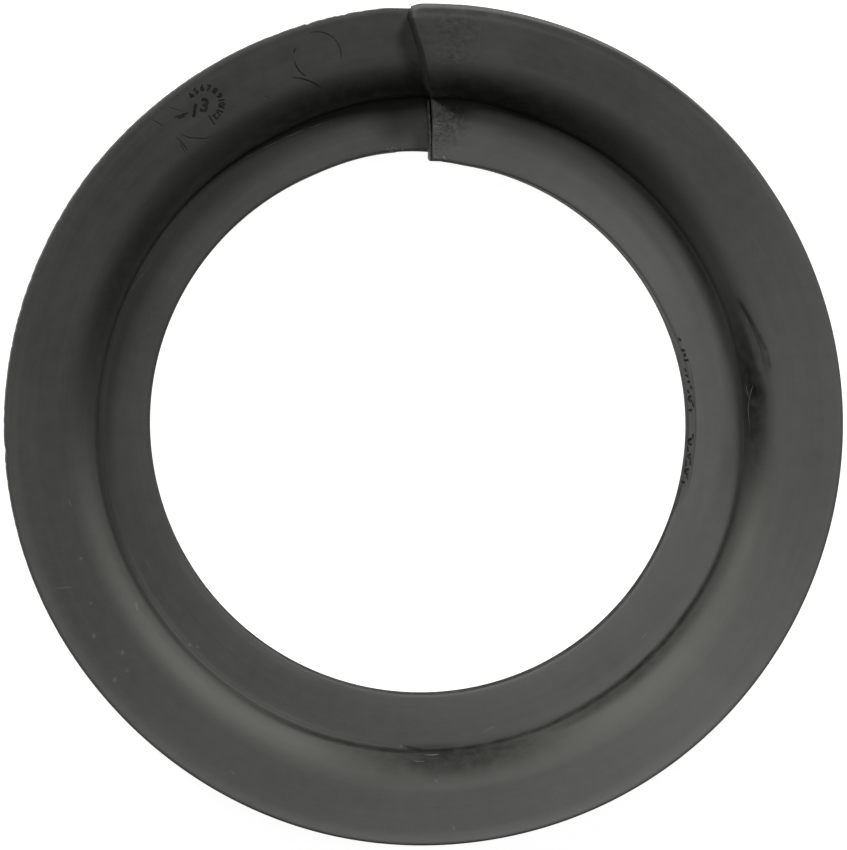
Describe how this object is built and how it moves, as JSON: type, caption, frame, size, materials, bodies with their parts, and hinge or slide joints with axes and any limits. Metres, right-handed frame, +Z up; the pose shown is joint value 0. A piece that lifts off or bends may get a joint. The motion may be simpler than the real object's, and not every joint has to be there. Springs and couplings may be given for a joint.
{
  "type": "coil spring insulator",
  "caption": "Moulded rubber ring with a wide flange, a soft shoulder down to a dished inner ledge, a round neck beneath, and one end raised to a step.",
  "frame": {"origin": "on the ring's axis, in the plane of the level underside that it rests on", "axes": "+Z up along the ring's axis, out of the dished side; +Y towards the step; +X a quarter turn clockwise from the step, seen from above"},
  "size_m": [0.14, 0.1405, 0.016],
  "materials": {
    "black_rubber": "matte, lightly worn"
  },
  "bodies": {
    "root": {"insulator_ring": "black_rubber"}
  },
  "joints": []
}
